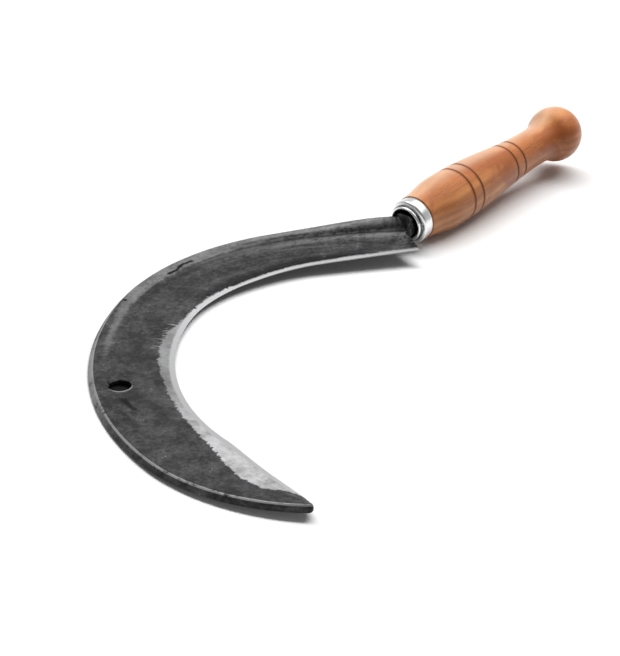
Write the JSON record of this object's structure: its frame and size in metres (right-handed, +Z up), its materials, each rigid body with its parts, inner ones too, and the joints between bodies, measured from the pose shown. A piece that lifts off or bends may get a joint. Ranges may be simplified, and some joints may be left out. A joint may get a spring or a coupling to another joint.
{
  "type": "sickle",
  "caption": "Hand sickle: a wide curved blade with a raised back, a hanging hole and a forged tang, set in a turned wooden handle through a metal ferrule.",
  "frame": {"origin": "bottom centre of the bounding box, with the sickle lying on a table on the left of its blade and on the belly of its grip", "axes": "+Z up from the table, +Y the longest extent, away from the point of the blade and towards the knob, +X to the side on which the handle leaves the blade"},
  "size_m": [0.2854, 0.4294, 0.0409],
  "materials": {
    "forged_blade": "forged, dark scale, with a ground bevel left bright",
    "plated_steel": "bright plating, a little worn",
    "turned_beech": "turned and varnished, with burnt grooves"
  },
  "bodies": {
    "root": {"blade": "forged_blade", "ferrule": "plated_steel", "handle": "turned_beech"}
  },
  "joints": []
}
